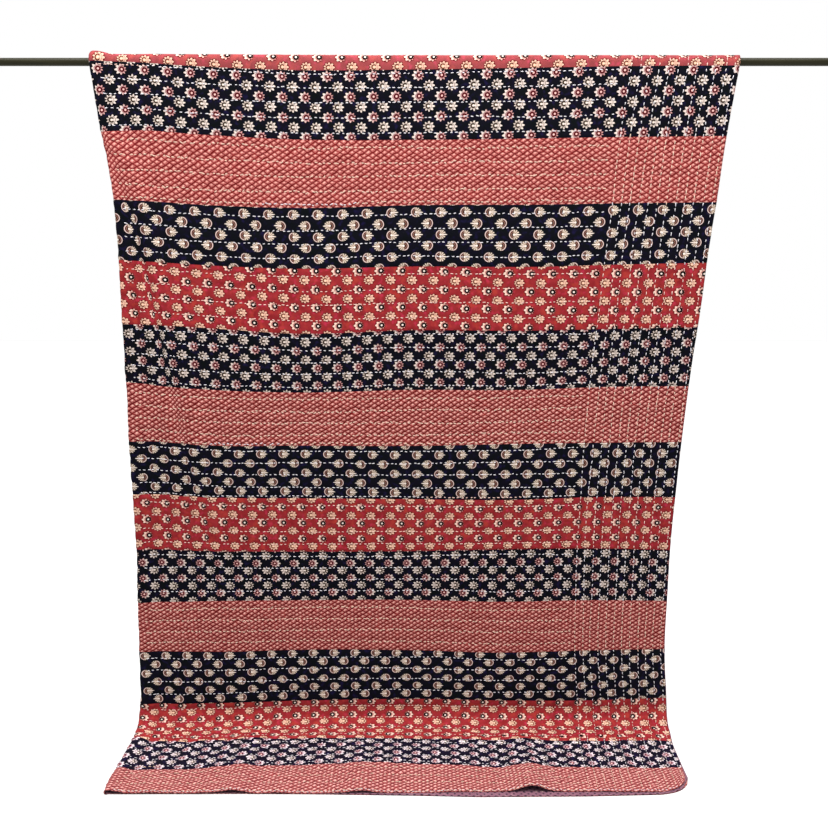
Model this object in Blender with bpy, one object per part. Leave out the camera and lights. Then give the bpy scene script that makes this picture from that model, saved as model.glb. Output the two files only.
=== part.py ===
# Kantha patchwork quilt, folded in half along its length and hung over a rod so
# that its lower end lies on the ground in front.
#
# Frame: metres, +Z up, +X to the right along the rod, the printed face looks
# along -Y. The origin is the middle of the rod's axis.
#
# The quilt is two bonded layers, the printed patchwork and its plain reverse.
# The fold is the left edge, so each layer is one U-shaped section (front half,
# fold, back half) swept along the path over the rod, down, round the bend and
# along the ground. The front half stands a little off the back half: in a soft
# roll beside the fold, and in three ridges where it lies on the ground.

import math

import bmesh
import bpy
import numpy as np

# ---- driving sizes, metres ----
ROD_RADIUS = 0.008
ROD_LENGTH = 1.90
ROD_SIDES = 32
ROD_END_CHAMFER = 0.001
AXIS_HEIGHT = 1.587  # rod's axis above the ground

TOP_THICK = 0.0010  # printed patchwork
BACK_THICK = 0.0010  # plain reverse
LAYER_GAP = 0.0003  # between the two, for the quilting stitches
HALF_GAP = 0.0006  # between the reverse of the front half and of the back half
ROD_GAP = 0.0020  # between the rod and the inner half

BEND_RADIUS = 0.045  # where the cloth turns from hanging to lying
TAIL_LENGTH = 0.242  # path length behind the top of the rod
HEM_PATH = 1.932  # path length from the top of the rod to the front hem
FLARE_FROM = 1.690  # path length where the hem's unevenness starts

FOLD_NOSE = 0.007  # depth of the rounded fold at the left edge
ROLL_HEIGHT = 0.0065  # soft roll beside the fold
ROLL_FULL = 0.012
ROLL_END = 0.050
SWELL_HEIGHT = 0.0025  # low swell beyond the valley that ends the roll
SWELL_AT = 0.105
SWELL_WIDTH = 0.040

CORNER_RADIUS = 0.046  # rounded lower right corner

# Derived
BASE = HALF_GAP / 2 + BACK_THICK + LAYER_GAP / 2  # middle of the stack to the seam of the two layers
STACK_HALF = BASE + LAYER_GAP / 2 + TOP_THICK
PATH_RADIUS = ROD_RADIUS + ROD_GAP + STACK_HALF
ARC = math.pi / 2 * PATH_RADIUS
GROUND = -AXIS_HEIGHT
BEND_START = ARC + (AXIS_HEIGHT - STACK_HALF - BEND_RADIUS)
BEND_ARC = math.pi / 2 * BEND_RADIUS

# Outline of the folded quilt, one row per section of the path:
# path length from the top of the rod, left edge (fold), right edge of the back
# half, and how far the front half's right edge stops short of it.
OUTLINE = (
    # path,  left,   right, short
    (-0.242, -0.672, 0.676, 0.000),
    (-0.137, -0.685, 0.686, 0.000),
    (-0.060, -0.696, 0.697, 0.000),
    (0.020, -0.701, 0.702, 0.000),
    (0.060, -0.698, 0.698, 0.000),
    (0.137, -0.691, 0.691, 0.000),
    (0.218, -0.680, 0.684, 0.000),
    (0.300, -0.675, 0.678, 0.000),
    (0.400, -0.675, 0.670, 0.001),
    (0.517, -0.678, 0.665, 0.002),
    (0.654, -0.684, 0.656, 0.003),
    (0.800, -0.689, 0.649, 0.003),
    (0.944, -0.695, 0.645, 0.004),
    (1.100, -0.698, 0.643, 0.004),
    (1.258, -0.708, 0.647, 0.004),
    (1.425, -0.717, 0.652, 0.004),
    (1.511, -0.721, 0.660, 0.005),
    (1.600, -0.723, 0.660, 0.006),
    (1.690, -0.723, 0.656, 0.007),
    (1.790, -0.723, 0.651, 0.010),
    (1.880, -0.721, 0.648, 0.015),
    (1.932, -0.716, 0.646, 0.018),
)

# Ridges of the front half where it lies on the ground:
# place across, height at the hem, half width, slant along the path.
RIDGES = (
    # across, height, width, slant
    (-0.421, 0.009, 0.034, 0.06),
    (-0.124, 0.007, 0.030, -0.05),
    (0.272, 0.017, 0.036, 0.04),
)
RIDGE_FROM = 1.560

# The hem is not cut level: how much longer each half runs than HEM_PATH.
HEM = (
    # across, front, back
    (-0.72, 0.004, 0.002),
    (-0.40, 0.003, 0.001),
    (-0.20, 0.003, 0.004),
    (0.00, 0.001, 0.009),
    (0.15, -0.004, 0.018),
    (0.40, -0.006, 0.020),
    (0.55, -0.005, 0.010),
    (0.65, -0.004, 0.002),
)

# Sections of the path (stations) and columns across each half.
STATIONS = (
    tuple(-TAIL_LENGTH + (TAIL_LENGTH - ARC) * k / 3 for k in range(3))
    + tuple(-ARC + 2 * ARC * k / 10 for k in range(11))
    + (0.075, 0.137, 0.218, 0.330, 0.450, 0.600, 0.760, 0.930, 1.100, 1.280, 1.430)
    + tuple(BEND_START + BEND_ARC * k / 5 for k in range(6))
    + (1.665, 1.705, 1.745, 1.785, 1.825, 1.865, 1.900, HEM_PATH)
)
FRONT_COLUMNS = (
    0.000, 0.008, 0.018, 0.030, 0.045, 0.075, 0.120, 0.180, 0.210, 0.240, 0.320,
    0.405, 0.435, 0.465, 0.560, 0.680, 0.702, 0.722, 0.742, 0.765, 0.860, 0.960, 1.000,
)
BACK_COLUMNS = (0.000, 0.200, 0.420, 0.560, 0.720, 0.860, 0.960, 1.000)
NOSE_ANGLES = (0.25 * math.pi, 0.5 * math.pi, 0.75 * math.pi)


def clear_scene():
    for obj in list(bpy.data.objects):
        bpy.data.objects.remove(obj, do_unlink=True)


def smooth(x, low, high):
    t = min(max((x - low) / (high - low), 0.0), 1.0)
    return t * t * (3 - 2 * t)


def path(s):
    """(point, normal) in the YZ plane at path length s; the normal looks out of the printed front."""
    if s < -ARC:
        return (PATH_RADIUS, s + ARC), (1.0, 0.0)
    if s < ARC:
        a = s / PATH_RADIUS
        return (-PATH_RADIUS * math.sin(a), PATH_RADIUS * math.cos(a)), (-math.sin(a), math.cos(a))
    if s < BEND_START:
        return (-PATH_RADIUS, ARC - s), (-1.0, 0.0)
    drop = ARC - BEND_START
    if s < BEND_START + BEND_ARC:
        a = (s - BEND_START) / BEND_RADIUS
        y = -PATH_RADIUS - BEND_RADIUS * (1 - math.cos(a))
        return (y, drop - BEND_RADIUS * math.sin(a)), (-math.cos(a), math.sin(a))
    y = -PATH_RADIUS - BEND_RADIUS - (s - BEND_START - BEND_ARC)
    return (y, drop - BEND_RADIUS), (0.0, 1.0)


def outline(s):
    rows = np.array(OUTLINE)
    return [float(np.interp(s, rows[:, 0], rows[:, k])) for k in (1, 2, 3)]


def hem_shift(x, s, edge, back):
    """How far a point near the hem moves along the path: the uneven hem and the rounded corner."""
    if s <= FLARE_FROM:
        return 0.0
    rows = np.array(HEM)
    ramp = (s - FLARE_FROM) / (HEM_PATH - FLARE_FROM)
    shift = float(np.interp(x, rows[:, 0], rows[:, 2 if back else 1]))
    inside = CORNER_RADIUS - (edge - x)
    if inside > 0:
        shift -= CORNER_RADIUS - math.sqrt(max(CORNER_RADIUS**2 - inside**2, 0.0)) * 0.9 - 0.1 * CORNER_RADIUS
    return ramp * shift


def relief(x, s, left):
    """How far the front half stands off its flat place over the back half."""
    e = x - left
    lift = ROLL_HEIGHT * (1 - smooth(e, ROLL_FULL, ROLL_END))
    hang = smooth(s, 0.03, 0.20)
    lift += SWELL_HEIGHT * hang * math.exp(-(((e - SWELL_AT) / SWELL_WIDTH) ** 2))
    rise = smooth(s, RIDGE_FROM, HEM_PATH)
    for across, height, width, slant in RIDGES:
        middle = across + slant * (HEM_PATH - s)
        lift += height * rise * math.exp(-(((x - middle) / width) ** 2))
    return lift


def section(s):
    """The seam line of the two layers at one station: points (x, n, path shift), and the unit normals in (x, n)."""
    left, right, short = outline(s)
    inner = left + FOLD_NOSE
    points = []
    edge = right - short
    for u in reversed(FRONT_COLUMNS):
        x = inner + (edge - inner) * u
        points.append((x, BASE + relief(x, s, left), hem_shift(x, s, edge, False)))
    top = points[-1][1]
    for a in NOSE_ANGLES:
        x = inner - FOLD_NOSE * math.sin(a)
        n = (top - BASE) / 2 + (top + BASE) / 2 * math.cos(a)
        points.append((x, n, hem_shift(x, s, edge, a > math.pi / 2)))
    for u in BACK_COLUMNS:
        x = inner + (right - inner) * u
        points.append((x, -BASE, hem_shift(x, s, right, True)))
    line = np.array(points)
    ahead = np.diff(line[:, :2], axis=0)
    ahead /= np.linalg.norm(ahead, axis=1)[:, None]
    along = np.vstack([ahead[:1], ahead[:-1] + ahead[1:], ahead[-1:]])
    along /= np.linalg.norm(along, axis=1)[:, None]
    # The line runs right to left on the front, so its outside is on its right.
    normals = np.column_stack([along[:, 1], -along[:, 0]])
    return line, normals


def layer_mesh(name, low, high):
    """One closed body: the swept U section between two distances off the seam line."""
    rings = []
    for s in STATIONS:
        line, normals = section(s)
        ring = []
        for off, order in ((high, 1), (low, -1)):
            for (x, n, shift), (nx, nn) in list(zip(line, normals))[::order]:
                (y, z), (ny, nz) = path(s + shift)
                d = n + off * nn
                ring.append((x + off * nx, y + ny * d, z + nz * d))
        rings.append(ring)
    size = len(rings[0])
    half = size // 2
    bm = bmesh.new()
    verts = [[bm.verts.new(p) for p in ring] for ring in rings]
    for one, two in zip(verts, verts[1:]):
        for j in range(size):
            k = (j + 1) % size
            # The same diagonal on both layers keeps the gap between them even.
            if j < half:
                bm.faces.new((one[j], one[k], two[k]))
                bm.faces.new((one[j], two[k], two[j]))
            else:
                bm.faces.new((one[j], one[k], two[j]))
                bm.faces.new((one[k], two[k], two[j]))
    for ring in (verts[0], verts[-1]):
        for j in range(half - 1):
            a, b = ring[j], ring[j + 1]
            c, d = ring[size - 2 - j], ring[size - 1 - j]
            bm.faces.new((a, b, c))
            bm.faces.new((a, c, d))
    bmesh.ops.recalc_face_normals(bm, faces=bm.faces[:])
    mesh = bpy.data.meshes.new(name)
    bm.to_mesh(mesh)
    bm.free()
    mesh.shade_smooth()
    mesh.set_sharp_from_angle(angle=math.radians(50))
    return mesh


def rod_mesh(name):
    bm = bmesh.new()
    bmesh.ops.create_cone(
        bm, cap_ends=True, segments=ROD_SIDES, radius1=ROD_RADIUS, radius2=ROD_RADIUS, depth=ROD_LENGTH
    )
    ends = [e for e in bm.edges if abs(e.verts[0].co.z - e.verts[1].co.z) < 1e-6]
    bmesh.ops.bevel(bm, geom=ends, offset=ROD_END_CHAMFER, segments=1, affect="EDGES")
    mesh = bpy.data.meshes.new(name)
    bm.to_mesh(mesh)
    bm.free()
    mesh.shade_smooth()
    mesh.set_sharp_from_angle(angle=math.radians(40))
    return mesh


def material(name, colour, roughness, metallic=0.0):
    mat = bpy.data.materials.new(name)
    mat.use_nodes = True
    shader = mat.node_tree.nodes["Principled BSDF"]
    shader.inputs["Base Color"].default_value = (*colour, 1.0)
    shader.inputs["Roughness"].default_value = roughness
    shader.inputs["Metallic"].default_value = metallic
    return mat


def place(name, mesh, mat):
    obj = bpy.data.objects.new(name, mesh)
    obj.data.materials.append(mat)
    bpy.context.scene.collection.objects.link(obj)
    return obj


def main():
    clear_scene()
    seam = LAYER_GAP / 2
    place(
        "quilt_top",
        layer_mesh("quilt_top", seam, seam + TOP_THICK),
        material("printed_cotton", (0.05, 0.04, 0.07), 0.9),
    )
    place(
        "quilt_backing",
        layer_mesh("quilt_backing", -seam - BACK_THICK, -seam),
        material("mauve_cotton", (0.45, 0.16, 0.22), 0.9),
    )
    rod = place("rod", rod_mesh("rod"), material("dark_bronze_tube", (0.03, 0.03, 0.022), 0.35, 0.6))
    rod.rotation_euler = (0.0, math.pi / 2, 0.0)


main()
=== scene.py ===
# Hand-quilted patchwork, folded in half along its length and hung over a rod.
# Every strip of the patchwork is a sheet of its own on the folds of the solid;
# the prints are drawn with shader nodes in millimetres of cloth, and every
# quilting stitch is a real piece of thread.

import math

import bpy
import numpy as np
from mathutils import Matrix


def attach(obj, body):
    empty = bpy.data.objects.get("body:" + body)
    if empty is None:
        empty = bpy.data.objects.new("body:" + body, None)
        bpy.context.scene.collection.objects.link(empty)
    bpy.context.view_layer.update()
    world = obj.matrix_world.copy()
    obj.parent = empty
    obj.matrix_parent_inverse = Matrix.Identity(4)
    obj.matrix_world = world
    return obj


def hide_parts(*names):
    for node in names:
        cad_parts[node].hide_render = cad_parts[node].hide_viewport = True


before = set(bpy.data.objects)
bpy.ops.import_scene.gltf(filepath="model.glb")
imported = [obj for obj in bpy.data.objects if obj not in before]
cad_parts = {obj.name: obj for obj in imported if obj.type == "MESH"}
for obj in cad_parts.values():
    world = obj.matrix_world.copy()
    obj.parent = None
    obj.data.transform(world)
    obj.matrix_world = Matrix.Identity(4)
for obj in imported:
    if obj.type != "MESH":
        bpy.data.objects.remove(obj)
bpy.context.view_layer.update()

# ------------------------------------------------------------------ sizes, metres
ROD_RADIUS = 0.008
ROD_LENGTH = 1.90
AXIS_HEIGHT = 1.587

TOP_THICK = 0.0010
BACK_THICK = 0.0010
LAYER_GAP = 0.0003
HALF_GAP = 0.0006
ROD_GAP = 0.0020

BEND_RADIUS = 0.045
TAIL_LENGTH = 0.242
HEM_PATH = 1.932

FOLD_NOSE = 0.007
ROLL_HEIGHT = 0.0065
ROLL_FULL = 0.012
ROLL_END = 0.050
SWELL_HEIGHT = 0.0025
SWELL_AT = 0.105
SWELL_WIDTH = 0.040
CORNER_RADIUS = 0.046

BASE = HALF_GAP / 2 + BACK_THICK + LAYER_GAP / 2
OUTER = LAYER_GAP / 2 + TOP_THICK  # printed face, off the seam line of the layers
INNER = -LAYER_GAP / 2 - BACK_THICK  # reverse face
STACK_HALF = BASE + OUTER
PATH_RADIUS = ROD_RADIUS + ROD_GAP + STACK_HALF
ARC = math.pi / 2 * PATH_RADIUS
GROUND = -AXIS_HEIGHT
BEND_START = ARC + (AXIS_HEIGHT - STACK_HALF - BEND_RADIUS)
BEND_ARC = math.pi / 2 * BEND_RADIUS
BEND_END = BEND_START + BEND_ARC

STRIP = 0.136  # a strip's height as cut

# path, left edge, right edge of the back half, how far the front stops short
OUTLINE = np.array(
    (
        (-0.242, -0.672, 0.676, 0.000),
        (-0.137, -0.685, 0.686, 0.000),
        (-0.060, -0.696, 0.697, 0.000),
        (0.020, -0.701, 0.702, 0.000),
        (0.060, -0.698, 0.698, 0.000),
        (0.137, -0.691, 0.691, 0.000),
        (0.218, -0.680, 0.684, 0.000),
        (0.300, -0.675, 0.678, 0.000),
        (0.400, -0.675, 0.670, 0.001),
        (0.517, -0.678, 0.665, 0.002),
        (0.654, -0.684, 0.656, 0.003),
        (0.800, -0.689, 0.649, 0.003),
        (0.944, -0.695, 0.645, 0.004),
        (1.100, -0.698, 0.643, 0.004),
        (1.258, -0.708, 0.647, 0.004),
        (1.425, -0.717, 0.652, 0.004),
        (1.511, -0.721, 0.660, 0.005),
        (1.600, -0.723, 0.660, 0.006),
        (1.690, -0.723, 0.656, 0.007),
        (1.790, -0.723, 0.651, 0.010),
        (1.880, -0.721, 0.648, 0.015),
        (1.932, -0.716, 0.646, 0.018),
        (1.960, -0.715, 0.645, 0.018),
    )
)

# how the two edges stray from the solid's outline, in millimetres: they swing
# outward where the cloth nears the ground
SWING_S = (-0.242, 0.05, 0.17, 0.33, 0.58, 0.70, 1.00, 1.20, 1.345, 1.435, 1.481, 1.528, 1.577, 1.621, 1.706, 1.785, 1.86, 1.96)
SWING_LEFT = (1.5, 1.5, 0.2, 1.8, 0.3, 1.5, 2.2, 2.4, 1.0, 0.6, 0.8, 0.0, -6.5, -5.0, 3.6, 5.2, 4.4, 3.0)
SWING_RIGHT = (2.0, 1.8, 1.0, 2.8, 3.4, 3.1, 2.9, 2.3, 2.6, 5.0, 5.8, 8.7, 13.5, 13.0, 5.0, 3.6, 2.9, 2.6)

# ridges of the front half on the ground: across, height, half width, slant
RIDGES = (
    (-0.421, 0.009, 0.034, 0.06),
    (-0.124, 0.007, 0.030, -0.05),
    (0.272, 0.017, 0.036, 0.04),
)
RIDGE_FROM = 1.560

# the uneven hem: across, front, back
HEM = np.array(
    (
        (-0.72, 0.004, 0.002),
        (-0.40, 0.003, 0.001),
        (-0.20, 0.003, 0.004),
        (0.00, 0.001, 0.009),
        (0.15, -0.003, 0.015),
        (0.40, -0.003, 0.012),
        (0.55, -0.002, 0.006),
        (0.65, -0.002, 0.001),
    )
)

# The seams, top to bottom: path length, then how many millimetres the seam
# rises above that at eight places from the fold to the open edge.
SEAM_PLACES = (0.00, 0.05, 0.15, 0.30, 0.50, 0.70, 0.85, 1.00)
SEAMS = (
    # path, 0, .05, .15, .30, .50, .70, .85, 1
    (-0.2420, 0, 0, 0, 0, 0, 0, 0, 0),
    (-0.1060, 6, 5, 1, -4, -4, -2, 0, 1),
    (0.0303, 9, 8, 0, -8, -7, -3, 0, 1),
    (0.1689, 8, 11, 3, -7, -8, -5, -2, 0),
    (0.3084, 8, 5, -3, -9, -3, -2, 1, 3),
    (0.4391, 10, 6, -2, -9, -4, -5, 0, 4),
    (0.5814, 10, 8, 0, -12, -4, -5, -1, 3),
    (0.7192, 14, 6, -5, -11, -5, -5, 2, 4),
    (0.8531, 6, 5, -5, -5, -6, -1, 2, 4),
    (0.9868, 8, 7, -1, -3, -5, -7, 0, 0),
    (1.1235, 3, 2, -3, -4, -3, 2, 4, 0),
    (1.2601, -3, -2, 0, 2, 3, -2, 2, 0),
    (1.3983, -1, -1, -3, 3, 2, -5, 1, 5),
    (1.5426, -6, -7, -6, 1, 6, 1, 2, 9),
    (1.6910, 1, -12, -2, 11, 11, 1, -2, -8),
    (1.8250, -10, -15, -4, 11, 20, 0, -1, -1),
    (HEM_PATH, 0, 0, 0, 0, 0, 0, 0, 0),
)

# The strips, top to bottom: print, turned end for end, how far the print is
# shifted along and down the strip (mm), how much the quilting gathers the
# cloth along it, how far it is cut off the grain, and where the quilting rows
# run.
STRIPS = (
    # print, turned, along, down, gather, off grain, rows
    ("spray", False, 11, 5, 1.020, 0, (0.14, 0.38, 0.62, 0.86)),
    ("red", False, 42.1, 32.2, 1.010, 0, (0.08, 0.29, 0.50, 0.71)),
    ("daisy", False, 10.3, 13.0, 1.015, -0.006, (0.05, 0.25, 0.46, 0.68, 0.91)),
    ("grain", False, -7.6, -4.2, 1.009, 0, (0.12, 0.34, 0.55, 0.77, 0.95)),
    ("spray", False, 5.9, 16.6, 1.000, 0, (0.15, 0.37, 0.60, 0.83)),
    ("red", False, 22.5, 10.8, 1.009, 0.021, (0.12, 0.34, 0.56, 0.80)),
    ("daisy", False, 13.7, 0.2, 1.037, -0.005, (0.07, 0.28, 0.49, 0.70, 0.92)),
    ("grain", False, 0.0, 5.6, 0.995, 0, (0.14, 0.36, 0.58, 0.80, 0.96)),
    ("spray", True, 23.0, 2.9, 1.025, 0.006, (0.10, 0.32, 0.54, 0.78, 0.96)),
    ("red", False, 17.5, 24.8, 1.021, 0.004, (0.14, 0.38, 0.62, 0.86)),
    ("daisy", True, 18.5, 9.6, 1.053, 0, (0.10, 0.33, 0.57, 0.80)),
    ("grain", False, 5.4, -1.7, 1.020, 0, (0.16, 0.38, 0.60, 0.82)),
    ("spray", False, 9.3, 9.6, 1.024, -0.006, (0.14, 0.36, 0.58, 0.81)),
    ("red", True, 16.0, -3.9, 1.002, 0, (0.12, 0.36, 0.60, 0.84)),
    ("daisy", True, -5.0, 4.8, 1.049, -0.008, (0.16, 0.40, 0.66, 0.90)),
    ("grain", False, 7.9, -4.7, 1.000, 0, (0.18, 0.42, 0.66, 0.97)),
)

CREASE_S = (-0.30, 0.02, 0.10, 0.24, 0.38, 0.51, 0.65, 0.78, 0.92, 1.05, 1.20, 2.00)
CREASE_MM = (0, 2, 7, 15, 20, 23, 24, 15, 8, 6, 0, 0)

BORDER_LINES = 12  # quilting lines along each open edge
BORDER_FIRST = 0.009
BORDER_STEP = 0.0205

rng = np.random.default_rng(4127)


# ------------------------------------------------------------------ small maths
def smooth(x, low, high):
    t = np.clip((x - low) / (high - low), 0.0, 1.0)
    return t * t * (3 - 2 * t)


def spline(x, xs, ys):
    """Cubic through short tables, with finite-difference slopes."""
    xs, ys = np.asarray(xs, float), np.asarray(ys, float)
    slope = np.gradient(ys, xs)
    k = np.clip(np.searchsorted(xs, x) - 1, 0, len(xs) - 2)
    h = xs[k + 1] - xs[k]
    t = np.clip((x - xs[k]) / h, 0, 1)
    return (
        (2 * t**3 - 3 * t**2 + 1) * ys[k]
        + (t**3 - 2 * t**2 + t) * h * slope[k]
        + (-2 * t**3 + 3 * t**2) * ys[k + 1]
        + (t**3 - t**2) * h * slope[k + 1]
    )


def noise_field(seed):
    """Smooth value noise of two coordinates, from -1 to 1, period 256."""
    grid = np.random.default_rng(seed).uniform(-1, 1, (256, 256))

    def at(x, y):
        x0, y0 = np.floor(x), np.floor(y)
        fx, fy = x - x0, y - y0
        fx, fy = fx * fx * (3 - 2 * fx), fy * fy * (3 - 2 * fy)
        i, j = x0.astype(int) % 256, y0.astype(int) % 256
        i1, j1 = (i + 1) % 256, (j + 1) % 256
        a = grid[i, j] * (1 - fx) + grid[i1, j] * fx
        b = grid[i, j1] * (1 - fx) + grid[i1, j1] * fx
        return a * (1 - fy) + b * fy

    return at


N1, N2, N3, N4, N5, N6, N7 = (noise_field(k) for k in range(11, 18))


# ------------------------------------------------------------------ the cloth's shape
def path(s):
    """y, z and the outward normal of the middle of the folded stack at path length s."""
    s = np.asarray(s, float)
    a = np.clip(s, -ARC, ARC) / PATH_RADIUS
    b = np.clip(s - BEND_START, 0, BEND_ARC) / BEND_RADIUS
    tail = np.minimum(s + ARC, 0)
    hang = np.clip(s, ARC, BEND_START) - ARC
    flat = np.maximum(s - BEND_END, 0)
    y = -PATH_RADIUS * np.sin(a) - BEND_RADIUS * (1 - np.cos(b)) - flat
    z = PATH_RADIUS * np.cos(a) + tail - hang - BEND_RADIUS * np.sin(b)
    # angle of the normal: +Y behind, up on top, -Y in front, then up again on the ground
    angle = a - b
    return y, z, -np.sin(angle), np.cos(angle)


def edges(s):
    left = spline(s, OUTLINE[:, 0], OUTLINE[:, 1])
    right = spline(s, OUTLINE[:, 0], OUTLINE[:, 2])
    short = spline(s, OUTLINE[:, 0], OUTLINE[:, 3])
    left = left + spline(s, SWING_S, SWING_LEFT) / 1000.0
    right = right + spline(s, SWING_S, SWING_RIGHT) / 1000.0
    # the printed half covers the other one nearly to its edge
    return left, right, np.maximum(short, 0) * 0.42


def crease_at(s):
    """How far the slanting crease runs from the fold."""
    return 0.045 + 0.185 * (s - 0.38) + 0.004 * N1(s / 0.19, s * 0)


def taken_in(s):
    """How much cloth the crease takes in."""
    return 0.001 * spline(s, CREASE_S, CREASE_MM)


def relief(x, s, left):
    """How far the front half stands off the back half: the solid's own folds, with the fold's crease drawn deeper."""
    e = x - left
    lift = ROLL_HEIGHT * (1 - smooth(e, ROLL_FULL, ROLL_END))
    hang = smooth(s, 0.03, 0.20)
    lift = lift + SWELL_HEIGHT * hang * np.exp(-(((e - SWELL_AT) / SWELL_WIDTH) ** 2))
    # the slanting crease that starts at the fold under the rod
    q = e - crease_at(s)
    sharp = smooth(s, 0.06, 0.34) * (1 - smooth(s, 0.85, 1.35))
    lift = lift + sharp * (
        0.0060 * np.exp(-(((q + 0.024) / 0.017) ** 2))
        + 0.0085 * np.exp(-(((q - 0.030) / 0.024) ** 2))
        - 0.0012 * np.exp(-((q / 0.006) ** 2))
    )
    rise = smooth(s, RIDGE_FROM, HEM_PATH)
    for across, height, width, slant in RIDGES:
        middle = across + slant * (HEM_PATH - s)
        lift = lift + height * rise * np.exp(-(((x - middle) / width) ** 2))
    return np.maximum(lift, -0.001)


def seam_at(k, u):
    """Path length of seam k at u (0 at the fold, 1 at the open edge)."""
    row = SEAMS[k]
    return row[0] - spline(u, SEAM_PLACES, row[1:]) / 1000.0


def hem_at(x, edge, back):
    rows = HEM
    shift = np.interp(x, rows[:, 0], rows[:, 2] if back else rows[:, 1])
    inside = np.clip(CORNER_RADIUS - (edge - x), 0, CORNER_RADIUS)
    drop = CORNER_RADIUS - np.sqrt(CORNER_RADIUS**2 - inside**2) * 0.9 - 0.1 * CORNER_RADIUS
    # the corner is drawn in further than a plain quarter circle
    drawn = 0.025 * np.clip(1 - (edge - x) / 0.080, 0, 1) ** 1.5
    return HEM_PATH + shift - np.where(inside > 0, drop, 0) - drawn


def strip_path(k, v, u, x, edge, back):
    """Path length at the share v down strip k."""
    top = seam_at(k, u)
    low = hem_at(x, edge, back) if k == len(STRIPS) - 1 else seam_at(k + 1, u)
    return top + v * (low - top)


def quilting_rows(k, u, tau):
    """Path lengths of strip k's rows of stitches, with the wander of a hand."""
    top = seam_at(k, u)
    low = seam_at(k + 1, u)
    return [
        top + f * (low - top) + 0.0022 * N2(tau / 0.16 + 31 * k, np.full_like(tau, 7.3 * j + k))
        for j, f in enumerate(STRIPS[k][6])
    ]


def border_line(j, s, back):
    """How far border line j runs from the open edge."""
    j = np.asarray(j, float)
    return BORDER_FIRST + BORDER_STEP * j + 0.0018 * N3(s / 0.17 + 3 * j, 5.1 * j + 11 * back)


DEEPEST = -0.0012
BORDER_END = BORDER_FIRST + BORDER_STEP * (BORDER_LINES - 0.45)


def fine(tau, s, u, edge_gap, back, strip=None):
    """Small relief: soft undulation, puckers between the rows of stitches, seams, and wrinkles on the ground."""
    ground = smooth(s, 1.54, 1.66)
    over_rod = 1 - smooth(np.abs(s), 0.02, 0.09)
    h = 0.0009 * N1(tau / 0.13, s / 0.10) + 0.0007 * N2(tau / 0.052, s / 0.040)
    h = h + 0.00045 * N3(tau / 0.021, s / 0.017) + 0.00022 * N4(tau / 0.010, s / 0.009)
    border = 1 - smooth(edge_gap, BORDER_END - 0.004, BORDER_END + 0.004)
    # rows of stitches draw the cloth in
    groove = np.zeros_like(h)
    for k in range(len(STRIPS)):
        top, low = seam_at(k, u), seam_at(k + 1, u)
        near = (s > top - 0.02) & (s < low + 0.02)
        if strip is not None and abs(strip - k) > 1:
            continue
        if not near.any():
            continue
        for row in quilting_rows(k, u, tau):
            d = s - row
            beat = 0.72 + 0.28 * np.cos(2 * math.pi * tau / 0.0132 + 9 * N4(tau / 0.3, s * 0 + k))
            groove += np.where(near, np.exp(-((d / 0.0052) ** 2)) * beat, 0) * (1 - border)
    for j in range(BORDER_LINES):
        d = edge_gap - border_line(j, s, back)
        beat = 0.72 + 0.28 * np.cos(2 * math.pi * s / 0.0130 + 7 * j)
        groove += np.exp(-((d / 0.0048) ** 2)) * beat * border
    h = h + (0.0004 - 0.0016 * groove) * (1 - 0.6 * over_rod)
    # short cross puckers that running stitches make
    pull = N5(tau / 0.0105, s / 0.045) * (1 - border) + N5(tau / 0.045, s / 0.0105) * border
    h = h + 0.0006 * pull
    # seams between the strips
    for k in range(1, len(STRIPS)):
        d = s - seam_at(k, u)
        h = h - 0.0008 * np.exp(-((d / 0.0022) ** 2)) + 0.0005 * np.exp(-(((d + 0.006) / 0.0045) ** 2))
    # sideways wrinkles where the cloth turns onto the ground, and crumples beyond
    bend = smooth(s, 1.575, 1.625) * (1 - smooth(s, 1.70, 1.745))
    wave = np.sin(2 * math.pi * (s / 0.0165 + 0.55 * N6(tau / 0.09, s / 0.05)))
    patch = 0.45 + 0.75 * np.clip(N7(tau / 0.085, s / 0.035) + 0.35, 0, 1)
    h = h + 0.0021 * bend * wave * patch * (0 if back else 1)
    crumple = smooth(s, 1.66, 1.71) * (1 - 0.55 * smooth(s, 1.80, 1.86))
    ridged = 1 - 2 * np.abs(N6(tau / 0.034, s / 0.030 + 5))
    h = h + 0.0022 * crumple * (ridged + 0.6 * N7(tau / 0.019, s / 0.017)) * (0.15 if back else 1)
    lengthwise = N5(tau / 0.048 + 9, s / 0.33)
    h = h + 0.0018 * ground * lengthwise * (0 if back else 1)
    # tight over the rod
    h = h * (1 - 0.7 * over_rod)
    # the cloth can't sink into the half behind it
    soft = 0.0006
    return DEEPEST + soft * np.logaddexp(0, (h + 0.0002 - DEEPEST) / soft)


def pressed(x, s):
    """How tightly the cloth lies on top of the rod: the fold is thick, the open edges are thin."""
    return (1 - smooth(np.abs(s), 0.008, 0.040)) * smooth(x, -0.60, -0.05)


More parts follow.
